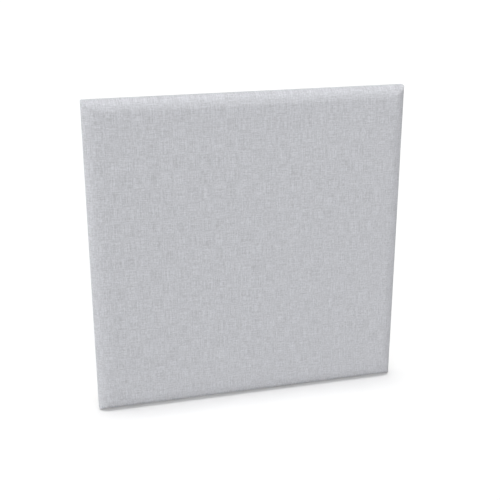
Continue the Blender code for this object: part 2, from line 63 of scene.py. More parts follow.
# Studio
# A plain white floor under an even sky, brighter on the left and in front, and one soft lamp straight
# overhead. The camera looks from a little above the panel and from its left, as in the picture.
# Lengths are in metres, here and in every section.
PANEL_LOW, PANEL_HIGH = np.array(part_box("fabric_cover"))
FLOOR_GAP = 0.0002
FLOOR_Z = PANEL_LOW[2] - FLOOR_GAP
FLOOR_HALF = 60.0
FLOOR_SEEN = 0.84
FLOOR_GLOW = 0.13
FLOOR_LIGHT = 0.46
SKY_LEFTWARD = 1.5
SKY_FORWARD = 0.4
SKY_LOW = 2.75
SKY_HIGH = 0.03
SKY_LOW_POWER = 7
LAMP_LEVEL = 0.74
LAMP_ANGLE = math.radians(19)
LAMP_HEIGHT = 3.0
CAMERA_PLACE = (-0.8607, -3.2550, 0.6970)
CAMERA_TURN = (math.radians(70), 0, math.radians(-15))
CAMERA_ANGLE = math.radians(30)
CAMERA_REACH = 200.0


class Value:
    """One output in a finish's node tree, with arithmetic that adds Math nodes."""

    def __init__(self, finish, socket):
        self.finish = finish
        self.socket = socket

    def out(self, name):
        """Another output of the same node."""
        return Value(self.finish, self.socket.node.outputs[name])

    def maths(self, operation, *others):
        """This value and others through one Math node."""
        return self.finish.node("ShaderNodeMath", {"operation": operation}, dict(enumerate((self, *others))))

    def __add__(self, other):
        return self.maths("ADD", other)

    def __sub__(self, other):
        return self.maths("SUBTRACT", other)

    def __rsub__(self, other):
        return self.finish.node("ShaderNodeMath", {"operation": "SUBTRACT"}, {0: other, 1: self})

    def __mul__(self, other):
        return self.maths("MULTIPLY", other)

    def __truediv__(self, other):
        return self.maths("DIVIDE", other)

    def __pow__(self, other):
        return self.maths("POWER", other)

    __radd__ = __add__
    __rmul__ = __mul__


class Finish:
    """A node tree being filled: a material's, or the world's."""

    def __init__(self, name, world=False):
        made = (bpy.data.worlds if world else bpy.data.materials).new(name)
        made.use_nodes = True
        self.made = made
        self.tree = made.node_tree
        self.tree.nodes.clear()
        self.out = self.tree.nodes.new("ShaderNodeOutputWorld" if world else "ShaderNodeOutputMaterial")

    def node(self, kind, settings=None, inputs=None, output=0):
        """Add a node of a type: its settings first, then its sockets' values or links. Gives one output."""
        node = self.tree.nodes.new(kind)
        for name, value in (settings or {}).items():
            if name == "stops":
                elements = node.color_ramp.elements
                while len(elements) < len(value):
                    elements.new(1.0)
                for element, (place, colour) in zip(elements, value):
                    element.position = place
                    element.color = rgb(*colour)
            else:
                setattr(node, name, value)
        for name, value in (inputs or {}).items():
            if isinstance(value, Value):
                self.tree.links.new(value.socket, node.inputs[name])
            else:
                node.inputs[name].default_value = value
        return Value(self, node.outputs[output])

    def seen_directly(self):
        """1 for what the camera sees, straight or by gloss or glass, and 0 for light that bounces."""
        ray = self.node("ShaderNodeLightPath")
        seen = ray.out("Is Camera Ray").maths("MAXIMUM", ray.out("Is Glossy Ray"))
        return seen.maths("MAXIMUM", ray.out("Is Transmission Ray"))

    def place(self, size=(1, 1, 1), uv=None):
        """Where a point lies, in metres divided by a size along each axis: in space, or on a UV map."""
        if uv:
            point = self.node("ShaderNodeUVMap", {"uv_map": uv})
        else:
            point = self.node("ShaderNodeTexCoord", output="Object")
        scale = tuple(1 / step for step in size)
        return self.node("ShaderNodeMapping", inputs={"Vector": point, "Scale": scale})

    def split(self, place):
        """The parts of a place along x, y and z."""
        along_x = self.node("ShaderNodeSeparateXYZ", inputs={0: place})
        return along_x, along_x.out("Y"), along_x.out("Z")

    def noise(self, place, detail, rough=0.5, distort=0.0):
        """Soft noise between 0 and 1, about 0.5, whose grains are one unit of the place across."""
        sockets = {"Vector": place, "Scale": 1.0, "Detail": detail, "Roughness": rough, "Distortion": distort}
        return self.node("ShaderNodeTexNoise", inputs=sockets)

    def mix(self, factor, low, high):
        """A colour between two others."""
        return self.node("ShaderNodeMix", {"data_type": "RGBA"}, {0: factor, 6: low, 7: high}, output=2)

    def bump(self, height, depth):
        """A normal bent by a height between 0 and 1, whose full depth is given in metres."""
        return self.node("ShaderNodeBump", inputs={"Strength": 1.0, "Distance": depth, "Height": height})

    def surface(self, **sockets):
        """Finish with one Principled shader; a socket's name has _ for its spaces."""
        named = {name.replace("_", " "): value for name, value in sockets.items()}
        shader = self.node("ShaderNodeBsdfPrincipled", inputs=named)
        self.tree.links.new(shader.socket, self.out.inputs["Surface"])
        return self.made


def rgb(red, green, blue):
    """A solid colour for a socket."""
    return (red, green, blue, 1)


def grey(level):
    """A solid grey for a socket."""
    return rgb(level, level, level)


# The sky's light is a band along the horizon, a high power of 1 - up * up, and grows towards the left and
# the front. What looks at the sky directly sees plain white.
sky = Finish("studio_sky", world=True)
seen = sky.seen_directly()
rightward, backward, upward = sky.split(sky.node("ShaderNodeTexCoord", output="Generated"))
horizon = (1 - upward * upward) ** SKY_LOW_POWER
light = SKY_HIGH + horizon * (SKY_LOW - rightward * SKY_LEFTWARD - backward * SKY_FORWARD)
strength = light * (1 - seen) + seen
background = sky.node("ShaderNodeBackground", inputs={"Color": grey(1), "Strength": strength})
sky.tree.links.new(background.socket, sky.out.inputs["Surface"])
scene.world = sky.made

lamp = bpy.data.objects.new("overhead_lamp", bpy.data.lights.new("overhead_lamp", "SUN"))
lamp.data.energy = LAMP_LEVEL * math.pi
lamp.data.angle = LAMP_ANGLE
lamp.location = (0, 0, LAMP_HEIGHT)
scene.collection.objects.link(lamp)

camera = bpy.data.objects.new("camera", bpy.data.cameras.new("camera"))
camera.data.sensor_fit = "HORIZONTAL"
camera.data.angle = CAMERA_ANGLE
camera.data.clip_end = CAMERA_REACH
camera.location = CAMERA_PLACE
camera.rotation_euler = CAMERA_TURN
scene.collection.objects.link(camera)
scene.camera = camera

# To the camera the floor is paler than to the light that bounces off it onto the panel. The camera also
# sees a little glow of it, which lights nothing, and which makes its shadow as pale as in the picture.
white = Finish("white_floor")
seen = white.seen_directly()
WHITE_FLOOR = white.surface(
    Base_Color=white.mix(seen, grey(FLOOR_LIGHT), grey(FLOOR_SEEN)),
    Roughness=1.0,
    Specular_IOR_Level=0.0,
    Emission_Color=white.mix(seen, grey(0), grey(FLOOR_GLOW)),
    Emission_Strength=1.0,
)
floor_mesh = bpy.data.meshes.new("studio_floor")
corners = [(x * FLOOR_HALF, y * FLOOR_HALF, FLOOR_Z) for x, y in ((-1, -1), (1, -1), (1, 1), (-1, 1))]
floor_mesh.from_pydata(corners, [], [(0, 1, 2, 3)])
floor_mesh.materials.append(WHITE_FLOOR)
floor = bpy.data.objects.new("studio_floor", floor_mesh)
scene.collection.objects.link(floor)


# Frame rails, stiles and brace
# Four lengths of planed pine, rounded outside in front, rebated for the board and mitred at the corners,
# and an upright brace dowelled in between them. Only a strip of their backs shows, between cloth and scrim.
PINE_EARLY = (0.76, 0.55, 0.32)
PINE_LATE = (0.53, 0.31, 0.14)
PINE_PALE = (0.83, 0.66, 0.44)
PINE_RING = 0.0034
PINE_HEART = 0.09
PINE_OVAL = 0.6
PINE_STRAY = 0.03
PINE_STRAY_GRAIN = (0.9, 0.06)
PINE_FIBRE = (0.03, 0.0006)
PINE_BLUSH = (0.5, 0.12)
PINE_RELIEF = 0.0003


def pine(name, grain):
    """Planed softwood, with its grain along the x axis, 0, or the z axis, 2.

    Its rings are a sine of the distance from a heart line that runs along the grain, outside the wood.
    The sine's fourth power makes the late wood thin and dark. The distance strays a little on the way.
    """
    wood = Finish(name)

    def along_grain(length, width):
        return wood.place([length if axis == grain else width for axis in range(3)])

    parts = wood.split(wood.place())
    across = parts[1] + PINE_HEART
    level = parts[2 - grain] * PINE_OVAL
    stray = wood.noise(along_grain(*PINE_STRAY_GRAIN), detail=2)
    radius = (across * across + level * level) ** 0.5 + stray * PINE_STRAY
    ring = (radius * (math.tau / PINE_RING)).maths("SINE") * 0.5 + 0.5
    fibre = wood.noise(along_grain(*PINE_FIBRE), detail=3, rough=0.6)
    tone = ring ** 4 * 0.9 + (fibre - 0.5) * 0.9
    blush = wood.noise(along_grain(*PINE_BLUSH), detail=1)
    ringed = wood.mix(tone, rgb(*PINE_EARLY), rgb(*PINE_LATE))
    return wood.surface(
        Base_Color=wood.mix(blush * 0.5, ringed, rgb(*PINE_PALE)),
        Roughness=0.62 + (fibre - 0.5) * 0.3,
        Specular_IOR_Level=0.3,
        Normal=wood.bump(fibre * 0.6 + ring * 0.4, PINE_RELIEF),
    )


def finish_nodes(material, *words):
    """Give a finish to every carried-over CAD node whose name holds one of the words."""
    for name, node in NODES.items():
        if any(word in name for word in words):
            for slot in node.material_slots:
                slot.material = material


finish_nodes(pine("pine_rail", grain=0), "top_rail", "bottom_rail")
finish_nodes(pine("pine_upright", grain=2), "left_stile", "right_stile", "centre_brace")


# Mitre keys and brace dowels
# Loose tongues glued into the frame's mitres and round dowels glued into the ends of the brace, all of
# plain close-grained beech. Nothing of them shows once the joints are closed.
BEECH_PALE = (0.80, 0.60, 0.41)
BEECH_DARK = (0.58, 0.39, 0.24)
BEECH_FLECK = (0.0012, 0.0012, 0.006)
BEECH_RELIEF = 0.0001

beech = Finish("beech")
flecks = beech.noise(beech.place(BEECH_FLECK), detail=2, rough=0.6)
BEECH = beech.surface(
    Base_Color=beech.mix(flecks, rgb(*BEECH_PALE), rgb(*BEECH_DARK)),
    Roughness=0.55,
    Normal=beech.bump(flecks, BEECH_RELIEF),
)
finish_nodes(BEECH, "mitre_key", "brace_dowel")


# Pin board
# Soft porous board, 12 mm thick, pressed from wood fibre. It lies in the frame's rebate, behind the
# wadding, so that pins go in anywhere on the panel's face.
BOARD_PALE = (0.50, 0.37, 0.23)
BOARD_DARK = (0.32, 0.22, 0.12)
BOARD_SHRED = (0.004, 0.002, 0.0015)
BOARD_RELIEF = 0.0006

board = Finish("soft_fibreboard")
shreds = board.noise(board.place(BOARD_SHRED), detail=4, rough=0.7)
FIBREBOARD = board.surface(
    Base_Color=board.mix(shreds, rgb(*BOARD_PALE), rgb(*BOARD_DARK)),
    Roughness=0.95,
    Specular_IOR_Level=0.1,
    Normal=board.bump(shreds, BOARD_RELIEF),
)
finish_nodes(FIBREBOARD, "pin_board")


# Absorber slabs
# Two slabs of pressed grey fibre felt that fill the frame on each side of the brace. Their edges are
# a little rounded where the press let go of them.
FELT_ROUND = 0.003
FELT_CORNER = 0.004
FELT_SHARES = (0.25, 0.6, 0.9)
FELT_ROUND_STEPS = 4
FELT_SIDE_STEPS = 24
FELT_CORNER_STEPS = 4
FELT_TONES = ((0.35, (0.16, 0.16, 0.17)), (0.55, (0.31, 0.31, 0.32)), (0.72, (0.55, 0.55, 0.56)))
FELT_LINT = (0.003, 0.0012, 0.003)
FELT_RELIEF = 0.0015


def square_path(side_steps, corner_steps):
    """Points round a square, as a corner of the square plus a unit normal that turns at the corners.

    A point of a rounded rectangle is then (half width - r) * px + r * nx, and the same for z.
    """
    run = np.linspace(-1, 1, side_steps + 1)
    turn = np.linspace(0, np.pi / 2, corner_steps + 1)[1:-1]
    px, pz, nx, nz = [], [], [], []
    for quarter in range(4):
        angle = -quarter * np.pi / 2
        cosine, sine = np.cos(angle), np.sin(angle)
        # The top side from left to right, then the turn of the normal at its right-hand corner
        x = np.concatenate([run, np.ones(len(turn))])
        z = np.ones(len(x))
        a = np.concatenate([np.zeros(len(run)), np.sin(turn)])
        b = np.concatenate([np.ones(len(run)), np.cos(turn)])
        px.append(x * cosine - z * sine)
        pz.append(x * sine + z * cosine)
        nx.append(a * cosine - b * sine)
        nz.append(a * sine + b * cosine)
    return np.concatenate(px), np.concatenate(pz), np.concatenate(nx), np.concatenate(nz)


def carried_round(section, centre, half, corner, path):
    """A section carried round a rounded rectangle that lies square to the y axis.

    Each row of the section is (inset, y, share): the ring lies that far inside the rectangle, at that y,
    and is drawn in to that share of its size about the centre. The corners' radius is one number, or one
    for each row. Gives the points as rings by path.
    """
    px, pz, nx, nz = path
    inset, y, share = (column[:, None] for column in np.array(section, float).T)
    wide, high = half[0] - inset, half[1] - inset
    radius = np.minimum(np.reshape(corner, (-1, 1)), np.minimum(wide, high))
    x = centre[0] + share * ((wide - radius) * px + radius * nx)
    z = centre[1] + share * ((high - radius) * pz + radius * nz)
    return np.stack([x, np.broadcast_to(y, x.shape), z], axis=-1)


def ring_quads(rings, count):
    """Quads between rings of so many points, each ring to the one that follows it."""
    near = np.arange(count)
    far = (near + 1) % count
    start = np.arange(rings - 1)[:, None] * count
    quads = np.stack([start + near, start + far, start + count + far, start + count + near], axis=-1)
    return quads.reshape(-1, 4)


def ring_faces(rings, count, pole_last=False):
    """Quads between rings, and triangles from the first ring, or from both ends, to a pole.

    The poles are the points that follow the last ring: the first ring's, and then the last one's.
    """
    near = np.arange(count)
    far = (near + 1) % count
    pole = rings * count
    faces = ring_quads(rings, count).tolist()
    faces += np.stack([np.full(count, pole), far, near], axis=-1).tolist()
    if pole_last:
        last = pole - count
        faces += np.stack([np.full(count, pole + 1), last + near, last + far], axis=-1).tolist()
    return faces


def add_piece(name, mesh, material, body):
    """A smooth piece at the origin, its place in its mesh, riding on a body."""
    mesh.materials.append(material)
    mesh.shade_smooth()
    piece = bpy.data.objects.new(name, mesh)
    scene.collection.objects.link(piece)
    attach(piece, body)
    return piece


def new_piece(name, points, faces, material):
    """A piece of the panel from its points and faces."""
    mesh = bpy.data.meshes.new(name)
    mesh.from_pydata(np.asarray(points).tolist(), [], faces)
    mesh.validate()
    return add_piece(name, mesh, material, "panel")


felt = Finish("pressed_felt")
lint = felt.noise(felt.place(FELT_LINT), detail=4, rough=0.75)
FELT = felt.surface(
    Base_Color=felt.node("ShaderNodeValToRGB", {"stops": FELT_TONES}, {0: lint}),
    Roughness=1.0,
    Specular_IOR_Level=0.1,
    Normal=felt.bump(lint, FELT_RELIEF),
)

# One face and its rounded edge, as rows of inset, depth and share; the other face is its mirror image
turn = np.linspace(0, np.pi / 2, FELT_ROUND_STEPS + 1)
felt_face = [(FELT_ROUND, 0, share) for share in FELT_SHARES]
felt_face += [(FELT_ROUND * (1 - np.sin(t)), FELT_ROUND * (1 - np.cos(t)), 1) for t in turn]
path = square_path(FELT_SIDE_STEPS, FELT_CORNER_STEPS)
for hand in ("left", "right"):
    low, high = np.array(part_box(f"core_slab_{hand}"))
    centre = (low + high) / 2
    half = (high - low) / 2
    section = [(inset, low[1] + depth, share) for inset, depth, share in felt_face]
    section += [(inset, high[1] - depth, share) for inset, depth, share in felt_face[::-1]]
    rings = carried_round(section, centre[[0, 2]], half[[0, 2]], FELT_CORNER, path)
    poles = [(centre[0], low[1], centre[2]), (centre[0], high[1], centre[2])]
    points = np.concatenate([rings.reshape(-1, 3), poles])
    faces = ring_faces(len(section), len(path[0]), pole_last=True)
    slab = new_piece(f"felt_slab_{hand}", points, faces, FELT)
    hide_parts(f"core_slab_{hand}")


# Wadding
# White needled polyester wadding, 3 mm thick, laid over the board and glued round the frame's edge so
# that the arris is soft under the cloth.
EDGE_INSET = 0.042
EDGE_DEPTH = 0.035
PLAN_CORNER = 0.005
MITRE_CORNER = 0.001
PRESS_SLOPE = 0.18
CLOTH = 0.001
GAP = 0.0003
WADDING = 0.003
WADDING_PALE = (0.90, 0.90, 0.89)
WADDING_DULL = (0.78, 0.78, 0.76)
WADDING_FLUFF = (0.006, 0.006, 0.006)
WADDING_RELIEF = 0.002
WADDING_EDGE_STEPS = 14
WADDING_SIDE_STEPS = 3
# Rings across the flat front, as shares of its size
FRONT_SHARES = (0.02, 0.1, 0.2, 0.32, 0.44, 0.56, 0.68, 0.79, 0.88, 0.95, 0.985)
SIDE_STEPS = 96
CORNER_STEPS = 6
WRAP_PATH = square_path(SIDE_STEPS, CORNER_STEPS)
WRAP_COUNT = len(WRAP_PATH[0])
FRONT_Y = PANEL_LOW[1]
WOOD_BACK_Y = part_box("top_rail")[1][1]
HALF = (PANEL_HIGH[0], (PANEL_HIGH[2] - PANEL_LOW[2]) / 2)
MIDDLE = (0.0, (PANEL_HIGH[2] + PANEL_LOW[2]) / 2)


def edge_rows(inside, steps, press):
    """The rounded edge of a layer that lies so far inside the cloth's face, as rows of a section.

    It is a quarter ellipse, pressed in a little where the cloth is drawn down over it: by the press's
    slope times the edge's width times t (1 - t)^2, with t from 0 at the flat front to 1 at the side.
    """
    angle = np.linspace(0, np.pi / 2, steps + 1)
    inset = EDGE_INSET - (EDGE_INSET - inside) * np.sin(angle)
    t = np.sin(angle)
    pressed = press * EDGE_INSET * t * (1 - t) ** 2
    depth = EDGE_DEPTH - (EDGE_DEPTH - inside) * np.cos(angle) + pressed
    return [(i, FRONT_Y + d, 1) for i, d in zip(inset, depth)]


def wrap_points(section):
    """Rings of a layer wrapped round the panel, with the pole at the middle of its front.

    The corners' radius grows with the depth, from the sharp mitre of the soft edge to the round side.
    """
    depth = np.clip((np.array(section, float)[:, 1] - FRONT_Y) / EDGE_DEPTH, 0, 1)
    corner = MITRE_CORNER + (PLAN_CORNER - MITRE_CORNER) * depth
    return carried_round(section, MIDDLE, HALF, corner, WRAP_PATH)


def wadding_face(inside, press):
    """The section of one face of the wadding, which lies so far inside the cloth's face."""
    front = [(EDGE_INSET, FRONT_Y + inside, share) for share in FRONT_SHARES]
    down_side = np.linspace(FRONT_Y + EDGE_DEPTH, WOOD_BACK_Y, WADDING_SIDE_STEPS + 1)[1:]
    return front + edge_rows(inside, WADDING_EDGE_STEPS, press) + [(inside, y, 1) for y in down_side]


fleece = Finish("needled_wadding")
fluff = fleece.noise(fleece.place(WADDING_FLUFF), detail=5, rough=0.7, distort=0.6)
FLEECE = fleece.surface(
    Base_Color=fleece.mix(fluff, rgb(*WADDING_DULL), rgb(*WADDING_PALE)),
    Roughness=1.0,
    Specular_IOR_Level=0.1,
    Normal=fleece.bump(fluff, WADDING_RELIEF),
)

# The inner face lies on the wood and the board, so the layer is thinner where the cloth presses on it
outer = wadding_face(CLOTH + GAP, PRESS_SLOPE)
inner = wadding_face(CLOTH + GAP + WADDING, 0)
section = outer + inner[::-1]
poles = [(MIDDLE[0], face[0][1], MIDDLE[1]) for face in (outer, inner)]
points = np.concatenate([wrap_points(section).reshape(-1, 3), poles])
wadding = new_piece("wadding", points, ring_faces(len(section), WRAP_COUNT, pole_last=True), FLEECE)
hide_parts("wadding_layer")


# Cloth cover
# One square of woven melange cloth, stretched over the wadding, drawn round the soft edges and down the
# sides, and turned in 30 mm on the back, where each corner is folded over its neighbour and stapled.
BACK_Y = PANEL_HIGH[1]
BACK_ROUND = 0.0015
RETURN = 0.030
BAND_RISE = 0.006
FOLD_HEIGHT = 0.0013
FOLD_LENGTH = 0.075
STAPLE_PITCH = 0.050
PULL_HEIGHT = 0.0005
CUT_WANDER = 0.0012
CUT_SEED = 7
CUT_STEPS = 3
CLOTH_EDGE_STEPS = 24
CLOTH_SIDE_STEPS = 4
BACK_ROUND_STEPS = 4
RETURN_STEPS = 7
CLOTH_MEAN = np.array([0.574, 0.581, 0.611])
CLOTH_SPREAD = 0.19
CLOTH_RELIEF = 0.0003
YARN = 0.0011
YARN_TONE = 0.0024
YARN_RUNS = ((0.060, 1.4), (0.013, 1.2))
WEFT_SHORTER = 0.8


def cut_line(seeded, lowest, steps, every, count):
    """How a cut edge wanders, at so many of its points.

    Chance values from lowest to 1, one to every few steps of the edge, are joined by straight lines.
    """
    knots = seeded.uniform(lowest, 1, steps // every)
    return np.interp(np.arange(count), np.linspace(0, steps, len(knots)), knots)


def thicken(piece, thickness):
    """Give a sheet its thickness, inwards from the face that was drawn."""
    solid = piece.modifiers.new("thickness", "SOLIDIFY")
    solid.thickness = thickness
    solid.offset = -1


cloth = Finish("grey_melange_cloth")
# Warp and weft yarns, each of its own tone over a long run, and with short slubs, which also stand proud
tone = 0.5
for run_length, share in YARN_RUNS:
    warp = cloth.noise(cloth.place((YARN_TONE, run_length, 1), uv="cloth"), detail=1)
    weft = cloth.noise(cloth.place((run_length * WEFT_SHORTER, YARN_TONE, 1), uv="cloth"), detail=1)
    tone = tone + (warp + weft - 1) * share
dark, light = CLOTH_MEAN * (1 - CLOTH_SPREAD), CLOTH_MEAN * (1 + CLOTH_SPREAD)
# Plain weave: yarns pass over and under each other, so the height is a product of two waves
over_warp, over_weft, _ = cloth.split(cloth.place((YARN / math.tau, YARN / math.tau, 1), uv="cloth"))
weave = over_warp.maths("SINE") * over_weft.maths("SINE")
MELANGE = cloth.surface(
    Base_Color=cloth.mix(tone, rgb(*dark), rgb(*light)),
    Roughness=0.92,
    Specular_IOR_Level=0.15,
    Sheen_Weight=0.05,
    Sheen_Roughness=0.5,
    Normal=cloth.bump(weave * 0.35 + warp * 0.4 + weft * 0.4, CLOTH_RELIEF),
)

# The section: the flat front, the soft edge, the side, the turn onto the back and the turned-in band
section = [(EDGE_INSET, FRONT_Y, share) for share in FRONT_SHARES]
section += edge_rows(0.0, CLOTH_EDGE_STEPS, PRESS_SLOPE)
down_side = np.linspace(FRONT_Y + EDGE_DEPTH, BACK_Y - BACK_ROUND, CLOTH_SIDE_STEPS + 1)[1:]
section += [(0.0, y, 1) for y in down_side]
for t in np.linspace(0, np.pi / 2, BACK_ROUND_STEPS + 1)[1:]:
    section.append((BACK_ROUND * (1 - np.cos(t)), BACK_Y - BACK_ROUND * (1 - np.sin(t)), 1))
section += [(inset, BACK_Y, 1) for inset in np.linspace(BACK_ROUND, RETURN, RETURN_STEPS + 1)[1:]]
rows = np.array(section)
rings = wrap_points(section)

# The turned-in band stands a little proud between the staples. At the last stretch of each side, going
# clockwise as seen from the front, it laps over the next side's band.
px, pz, nx, nz = WRAP_PATH
along = np.where(np.abs(nz) > np.abs(nx), rings[..., 0] - MIDDLE[0], rings[..., 2] - MIDDLE[1])
quarter = WRAP_COUNT // 4
place = np.arange(WRAP_COUNT) % quarter
from_corner = (SIDE_STEPS - np.minimum(place, SIDE_STEPS)) / SIDE_STEPS * 2 * HALF[0]
lap = np.where(place <= SIDE_STEPS + CORNER_STEPS // 2, 1 - np.clip(from_corner / FOLD_LENGTH, 0, 1), 0.0)
lap = lap * lap * (3 - 2 * lap)
band = np.clip((rows[:, 0] - BACK_ROUND) / BAND_RISE, 0, 1) * (rows[:, 1] >= BACK_Y)
pull = (1 - np.cos(math.tau * along / STAPLE_PITCH)) / 2 * PULL_HEIGHT
rings[..., 1] += band[:, None] * (lap * FOLD_HEIGHT + pull * (1 - lap))

# Its cut edge wanders a little, as shears leave it
wander = cut_line(np.random.default_rng(CUT_SEED), -1, WRAP_COUNT, CUT_STEPS, WRAP_COUNT) * CUT_WANDER
rings[-1] += np.stack([nx, np.zeros(WRAP_COUNT), nz], axis=-1) * wander[:, None]

points = np.concatenate([rings.reshape(-1, 3), [(MIDDLE[0], FRONT_Y, MIDDLE[1])]])
cover = new_piece("cloth_cover", points, ring_faces(len(section), WRAP_COUNT), MELANGE)

# The cloth's own coordinates: x and z on the front; past the front's rim, on a side's strip, the
# distance over the edge replaces the one of them that runs across the rim
rim = len(FRONT_SHARES)
over_edge = np.concatenate([[0], np.cumsum(np.hypot(*np.diff(rows[:, :2], axis=0).T))])
over_edge = np.maximum(over_edge - over_edge[rim], 0)[:, None]
past_rim = np.arange(len(section))[:, None] > rim


def strip_map(out_x, out_z):
    """The cloth's coordinates of every point, as the strip of the side that faces that way sees it."""
    u = np.where(past_rim & (out_x != 0), rings[rim, :, 0] + out_x * over_edge, rings[..., 0])
    v = np.where(past_rim & (out_z != 0), rings[rim, :, 2] + out_z * over_edge, rings[..., 2])
    return np.stack([u, v], axis=-1)


# A quad belongs to the side whose strip it lies in, and a corner's turn is shared at its middle. The
# triangles at the pole come after the quads, in the same order.
strips = [strip_map(*out) for out in ((0, 1), (1, 0), (0, -1), (-1, 0))]
uv_points = np.concatenate([np.reshape(strips, (4, -1, 2)), np.full((4, 1, 2), MIDDLE)], axis=1)
quad_side = (np.arange(WRAP_COUNT) + quarter - SIDE_STEPS - CORNER_STEPS // 2) // quarter % 4
loops = np.empty(len(cover.data.loops), dtype=np.int64)
cover.data.loops.foreach_get("vertex_index", loops)
corner_counts = np.empty(len(cover.data.polygons), dtype=np.int64)
cover.data.polygons.foreach_get("loop_total", corner_counts)
loop_side = np.repeat(np.tile(quad_side, len(section)), corner_counts)
layer = cover.data.uv_layers.new(name="cloth")
layer.data.foreach_set("uv", uv_points[loop_side, loops].astype(np.float32).ravel())
thicken(cover, CLOTH)
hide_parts("fabric_cover")


# Back scrim
# Black spunbonded fleece that closes the back and keeps the felt in. It is stapled through its lap on the
# wood, stands out a little over the felt, and is drawn in at each staple along its cut edge.
SCRIM = 0.0005
SCRIM_STEPS = 108
SCRIM_SAG = 0.0007
SCRIM_PITCH = 0.060
SCRIM_PUCKER = 0.0005
PUCKER_REACH = 0.022
SCRIM_CUT = 0.0010
SCRIM_SEED = 11
SCRIM_CUT_STEPS = 4
SCRIM_DARK = (0.008, 0.008, 0.009)
SCRIM_PALE = (0.085, 0.085, 0.088)
SCRIM_BLOTCH = (0.006, 0.02, 0.006)
SCRIM_THREAD = (0.0009, 0.02, 0.0009)
SCRIM_RELIEF = 0.0004
BOND_PITCH = 0.0022


def pucker(across, half_across, along, half_along):
    """The pucker of two opposite edges: it dies away inwards, and is a wave with a low at every staple."""
    fade = np.exp(-((1 - np.abs(across)) * half_across) / PUCKER_REACH)
    return fade * (1 - np.cos(math.tau * along * half_along / SCRIM_PITCH)) / 2


bonded = Finish("black_fleece")
blotch = bonded.noise(bonded.place(SCRIM_BLOTCH), detail=3, rough=0.7)
thread = bonded.noise(bonded.place(SCRIM_THREAD), detail=3, rough=0.8, distort=1.5)
# The bonding roller leaves a grid of small smooth dents
grid_x, _, grid_z = bonded.split(bonded.place((BOND_PITCH / math.pi, 1, BOND_PITCH / math.pi)))
dent = (grid_x.maths("SINE") * grid_z.maths("SINE")) ** 4
tone = blotch * 0.7 + thread * 1.3 - 0.45 - dent * 0.35
BLACK_FLEECE = bonded.surface(
    Base_Color=bonded.mix(tone, rgb(*SCRIM_DARK), rgb(*SCRIM_PALE)),
    Roughness=0.95 - dent * 0.3,
    Specular_IOR_Level=0.2,
    Normal=bonded.bump(blotch * 0.3 + thread * 0.4 - dent * 0.3, SCRIM_RELIEF),
)

# The sag is highest in the middle of each slab's half, and nothing on the brace and at the rim
low, high = np.array(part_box("back_scrim"))
centre = (low + high) / 2
half_wide, half_high = (high[0] - low[0]) / 2, (high[2] - low[2]) / 2
run = np.linspace(-1, 1, SCRIM_STEPS + 1)
u, v = np.meshgrid(run, run)
x = centre[0] + u * half_wide
z = centre[2] + v * half_high
sag = SCRIM_SAG * np.sin(np.pi * np.abs(u)) * np.cos(np.pi / 2 * v)
puckers = pucker(u, half_wide, v, half_high) + pucker(v, half_high, u, half_wide)
y = high[1] + sag + SCRIM_PUCKER * puckers
seeded = np.random.default_rng(SCRIM_SEED)
rims = ((x, u, np.s_[:, 0]), (x, u, np.s_[:, -1]), (z, v, np.s_[0, :]), (z, v, np.s_[-1, :]))
for axis, across, cut in rims:
    drift = cut_line(seeded, 0, SCRIM_STEPS, SCRIM_CUT_STEPS, SCRIM_STEPS + 1)
    axis[cut] -= np.sign(across[cut]) * SCRIM_CUT * drift
points = np.stack([x, y, z], axis=-1).reshape(-1, 3)
start = (np.arange(SCRIM_STEPS)[:, None] * (SCRIM_STEPS + 1) + np.arange(SCRIM_STEPS)).ravel()
faces = np.stack([start, start + SCRIM_STEPS + 1, start + SCRIM_STEPS + 2, start + 1], axis=-1).tolist()
scrim = new_piece("scrim", points, faces, BLACK_FLEECE)
thicken(scrim, SCRIM)
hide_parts("back_scrim")


# Staples
# Bright zinc-plated wire staples, 10 mm wide, driven by hand along the turned-in cloth and along the
# scrim's lap, so they lie a little crooked. Three to a side of the cloth and two of the scrim are nodes.
STAPLE_WIDTH = 0.010
STAPLE_LEG = 0.008
STAPLE_WIRE = np.array([0.0012, 0.0006])
STAPLE_OVAL = np.array([(-1, -0.5), (-1, 0.5), (-0.6, 1), (0.6, 1)])
STAPLE_BEND = 0.0009
STAPLE_BEND_MIDDLE = 0.3
STAPLE_LEAN = np.array([0, 22, 45, 68])
STAPLE_TILT = 5
STAPLE_SHIFT = 0.0012
STAPLE_RISE = 0.0001
CROWN_SUNK = 0.0002
# A run is how far staples go along a side from its middle, a line is how far they stand out from the
# panel's middle, and nodes are the places along a side that CAD staples already take
COVER_RUN = 0.55
COVER_LINE = HALF[0] - 0.0173
COVER_NODES = (-0.4, 0.0, 0.4)
CORNER_LINE = 0.815
SCRIM_RUN = 0.48
SCRIM_LINE = HALF[0] - 0.065
SCRIM_NODES = (-0.3, 0.3)
ZINC_DULL = (0.44, 0.46, 0.49)
ZINC_BRIGHT = (0.62, 0.63, 0.65)
ZINC_SPANGLE = (0.0015, 0.0015, 0.0015)
ZINC_RELIEF = 0.00005

zinc = Finish("zinc_plated_steel")
spangle = zinc.noise(zinc.place(ZINC_SPANGLE), detail=3, rough=0.6)
ZINC = zinc.surface(
    Base_Color=zinc.mix(spangle, rgb(*ZINC_DULL), rgb(*ZINC_BRIGHT)),
    Metallic=1.0,
    Roughness=0.30 + spangle * 0.22,
    Normal=zinc.bump(spangle, ZINC_RELIEF),
)
finish_nodes(ZINC, "_staple_")


